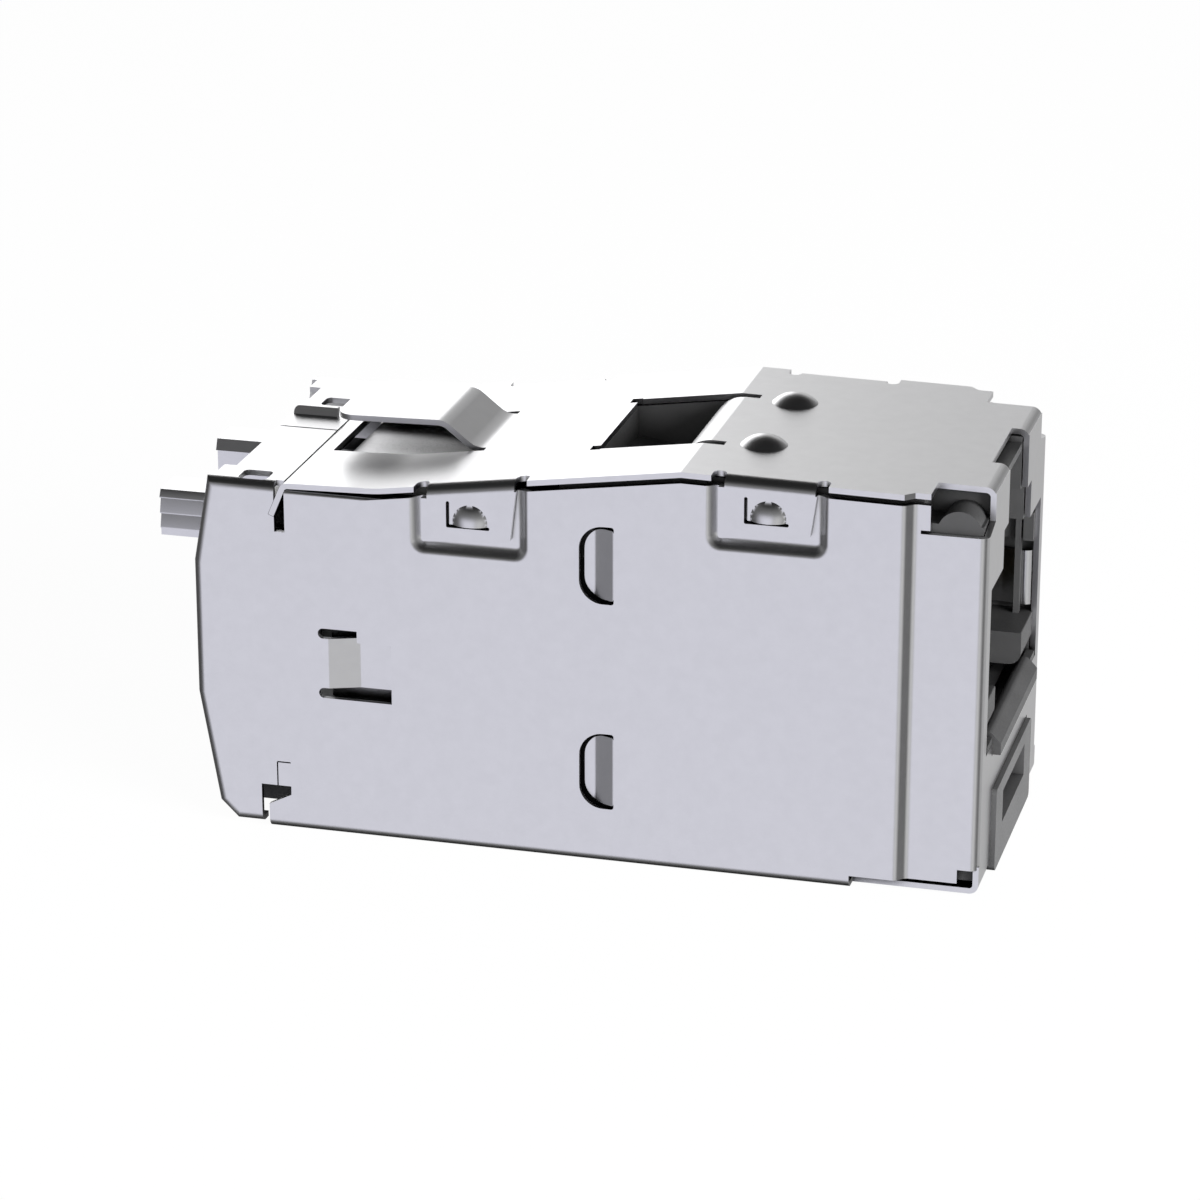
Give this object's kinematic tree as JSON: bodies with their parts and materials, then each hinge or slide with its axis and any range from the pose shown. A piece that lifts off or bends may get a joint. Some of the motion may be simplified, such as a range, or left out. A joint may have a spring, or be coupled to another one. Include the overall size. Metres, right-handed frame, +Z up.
{
  "type": "shielded keystone jack",
  "caption": "Shielded modular data jack that snaps into a keystone opening, with a folded sheet shield, plug port, insulation displacement terminals and a die-cast rear cap.",
  "frame": {"origin": "middle of the whole length and width, on the underside of the bottom plate", "axes": "+X to the plug face, +Y to the side wall that is on the left when the jack is seen from its face, +Z up to the latch side"},
  "size_m": [0.0376, 0.016, 0.0186],
  "materials": {
    "shield_metal": "satin plated sheet",
    "cast_metal": "satin cast",
    "spring_metal": "bright",
    "contact_metal": "bright plated",
    "terminal_metal": "bright tinned",
    "dark_plastic": "fine satin",
    "grey_plastic": "fine satin",
    "board": "solder mask"
  },
  "bodies": {
    "root": {"cable_cradle": "grey_plastic", "circuit_board": "board", "contact_comb": "dark_plastic", "forked_terminal_1": "terminal_metal", "forked_terminal_2": "terminal_metal", "forked_terminal_3": "terminal_metal", "forked_terminal_4": "terminal_metal", "forked_terminal_5": "terminal_metal", "forked_terminal_6": "terminal_metal", "forked_terminal_7": "terminal_metal", "forked_terminal_8": "terminal_metal", "ground_spring_far": "spring_metal", "ground_spring_near": "spring_metal", "port_housing": "dark_plastic", "rear_cap": "cast_metal", "shield_shell": "shield_metal", "spring_contact_1": "contact_metal", "spring_contact_2": "contact_metal", "spring_contact_3": "contact_metal", "spring_contact_4": "contact_metal", "spring_contact_5": "contact_metal", "spring_contact_6": "contact_metal", "spring_contact_7": "contact_metal", "spring_contact_8": "contact_metal", "terminal_block": "dark_plastic", "window_frame": "dark_plastic", "wire_manager": "grey_plastic"}
  },
  "joints": []
}
